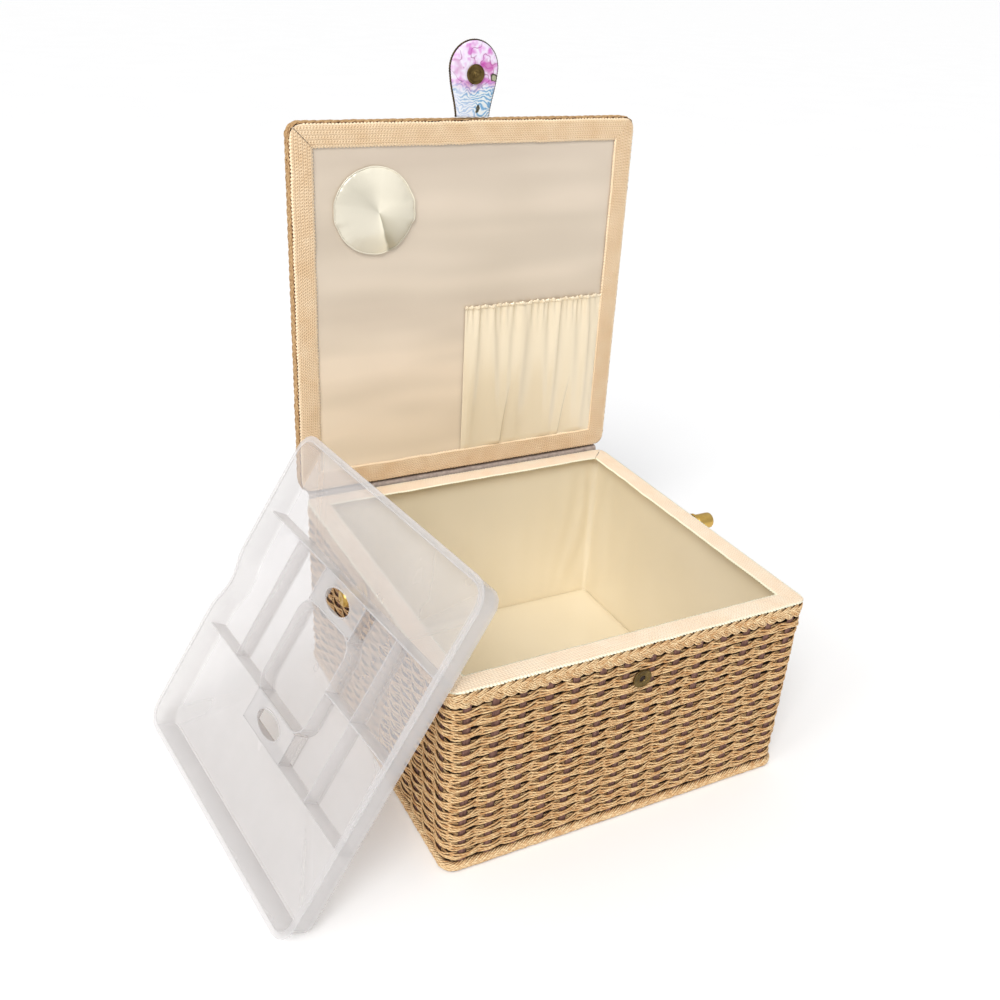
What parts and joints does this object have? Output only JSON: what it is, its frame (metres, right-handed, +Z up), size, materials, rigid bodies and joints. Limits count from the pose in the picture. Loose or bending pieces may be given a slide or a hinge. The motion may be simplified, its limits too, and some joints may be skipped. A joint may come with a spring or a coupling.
{
  "type": "sewing box",
  "caption": "Woven cord sewing box with a satin lining, a padded hinged lid with pocket and pincushion, a snap tab and a lift-out divided tray.",
  "frame": {"origin": "centre of the underside of the base board", "axes": "+Z up, +X towards the right side, -Y towards the front with the clasp, lid hinge at +Y"},
  "size_m": [0.4688, 0.332, 0.5226],
  "materials": {
    "cord": "matt twisted paper cord, woven",
    "braid": "matt twisted paper cord, braided",
    "board": "pressed fibre board",
    "satin": "champagne satin",
    "tape": "herringbone woven tape",
    "floral": "printed cotton over padding",
    "foam": "soft wadding",
    "binding": "dark stitched edging",
    "hinge": "cloth tape",
    "brass": "antique brass",
    "gold": "brushed gold plate",
    "plastic": "translucent moulded polypropylene"
  },
  "bodies": {
    "box": {"base_board": "board", "floor_pad": "satin", "foot_braid": "braid", "front_snap": "brass", "handle_collar_left": "gold", "handle_collar_right": "gold", "handle_post_left": "gold", "handle_post_right": "gold", "hinge_cloth_lower": "hinge", "lining_back": "satin", "lining_front": "satin", "lining_left": "satin", "lining_right": "satin", "rim_braid": "braid", "rim_tape_back": "tape", "rim_tape_front": "tape", "rim_tape_left": "tape", "rim_tape_right": "tape", "wall_board_back": "board", "wall_board_front": "board", "wall_board_left": "board", "wall_board_right": "board", "weave_shell": "cord"},
    "lid": {"hinge_cloth_upper": "hinge", "lid_board": "board", "lid_braid": "braid", "lid_cover": "floral", "lid_pad": "foam", "lid_satin": "satin", "lid_tape_back": "tape", "lid_tape_front": "tape", "lid_tape_left": "tape", "lid_tape_right": "tape", "pincushion": "satin", "pocket": "satin", "pocket_hem": "satin"},
    "tab": {"tab_binding": "binding", "tab_snap": "brass", "tab_tongue": "floral"},
    "tray": {"tray": "plastic"}
  },
  "joints": [
    {"name": "lid_hinge", "type": "hinge", "parent": "box", "child": "lid", "pos_m": [0, 0.15195, 0.16055], "axis": [1, 0, 0], "range_deg": [0, 90]},
    {"name": "tab_fold", "type": "hinge", "parent": "lid", "child": "tab", "pos_m": [0, 0.152, 0.4662], "axis": [1, 0, 0], "range_deg": [0, 90]},
    {"name": "tray_aside", "type": "slide", "parent": "box", "child": "tray", "axis": [-1, 0, 0], "range_m": [0, 0.152]}
  ],
  "couplings": [
    {"joint": "tray_aside", "follows": "lid_hinge", "m_per_rad": 0.0955}
  ]
}
